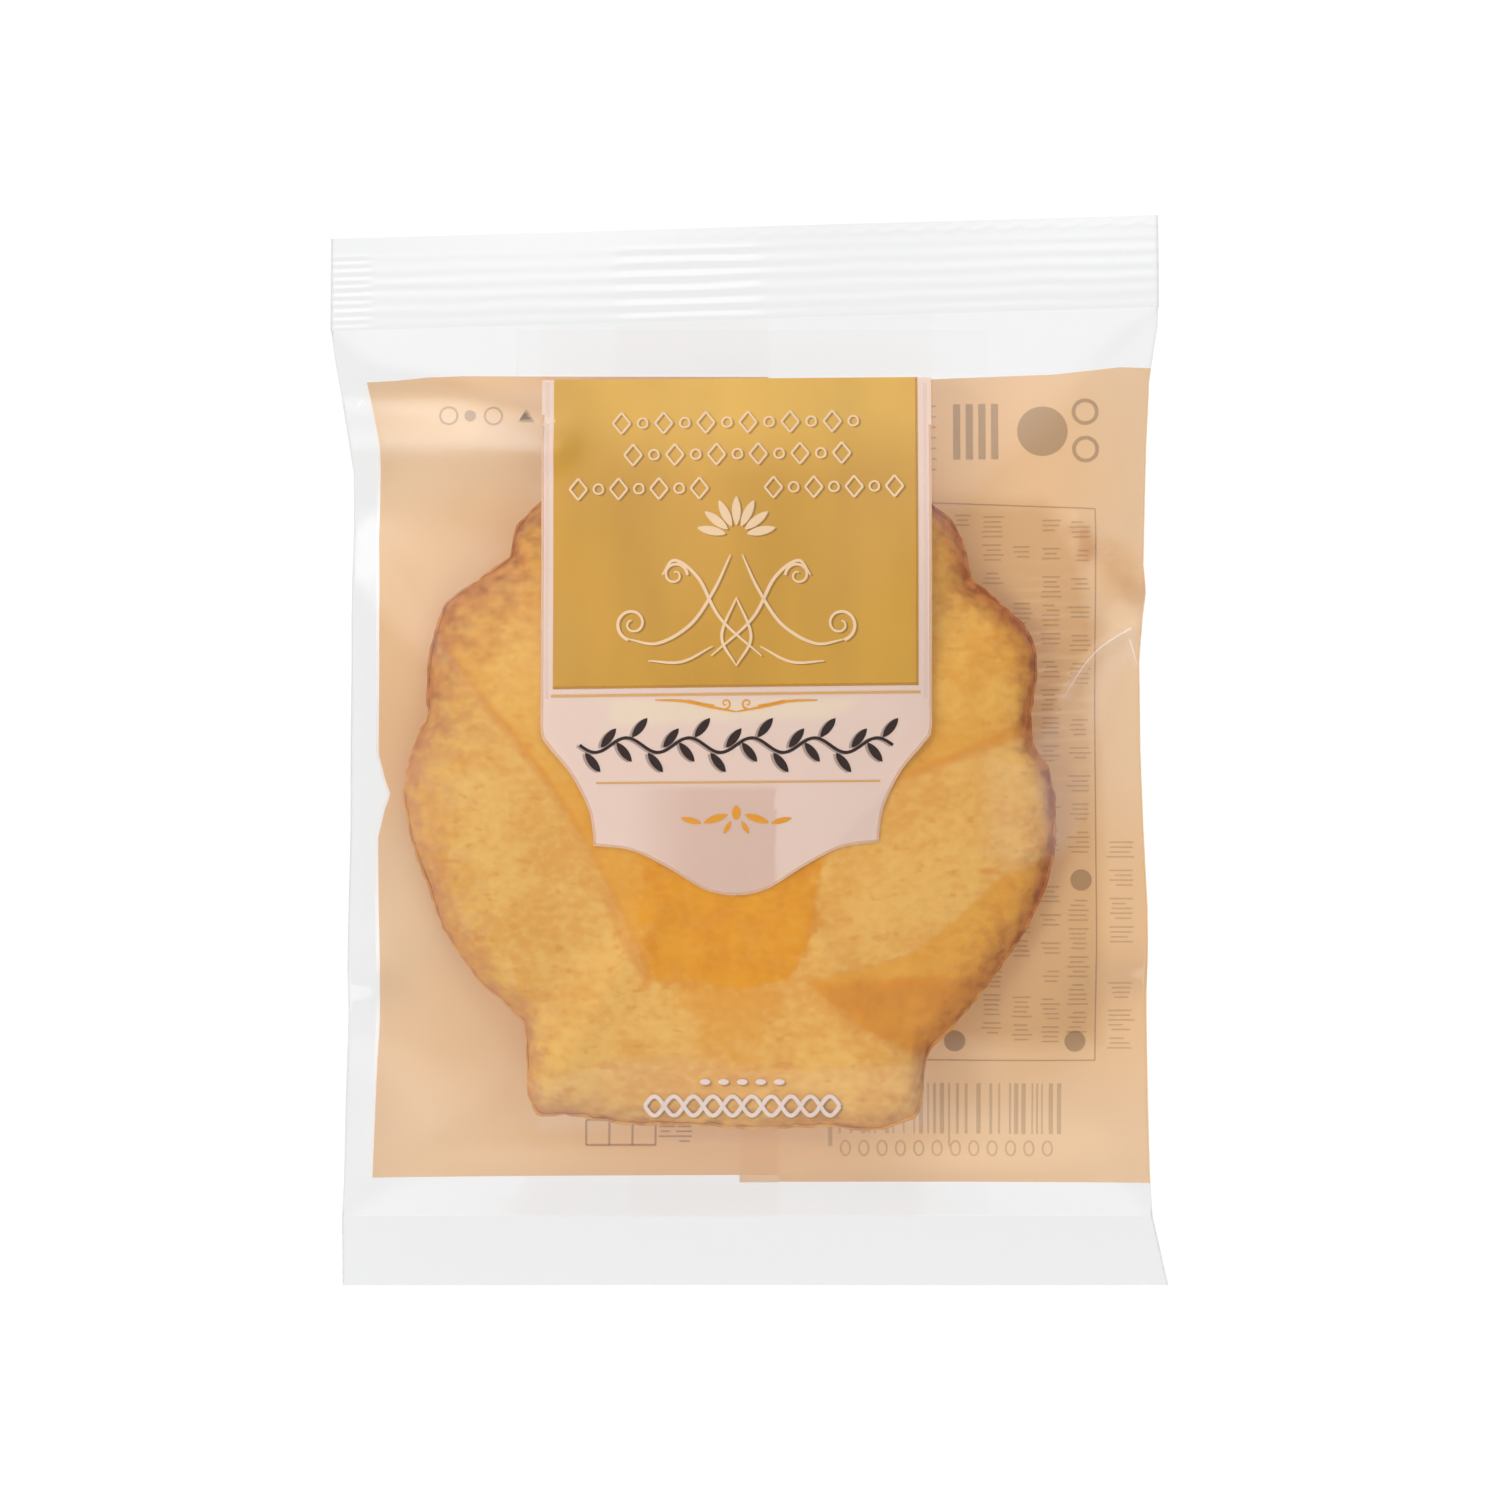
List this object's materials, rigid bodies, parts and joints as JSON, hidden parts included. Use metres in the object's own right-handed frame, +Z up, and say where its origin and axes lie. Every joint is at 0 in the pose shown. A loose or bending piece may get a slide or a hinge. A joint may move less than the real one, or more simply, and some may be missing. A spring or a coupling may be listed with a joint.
{
  "type": "wrapped madeleine cake",
  "caption": "Shell-shaped butter cake sealed in a clear flow-wrap bag with a printed label, lying on its back.",
  "frame": {"origin": "middle of the pack's footprint, on the surface that it rests on", "axes": "+X to the pack's right, +Y towards the top seal, +Z up out of the label side"},
  "size_m": [0.0866, 0.1106, 0.0176],
  "materials": {
    "printed_film": "thin glossy wrapping film, printed pale beige on the back",
    "clear_film": "clear thin wrapping film, slightly hazy",
    "label_gold": "flat gold ink under film",
    "label_white": "thin white ink under film, a little see-through",
    "ink_brown": "brown ink",
    "cake": "soft butter cake crumb, browned at the rim and on the ribbed side"
  },
  "bodies": {
    "root": {"bag": "printed_film"}
  },
  "joints": []
}
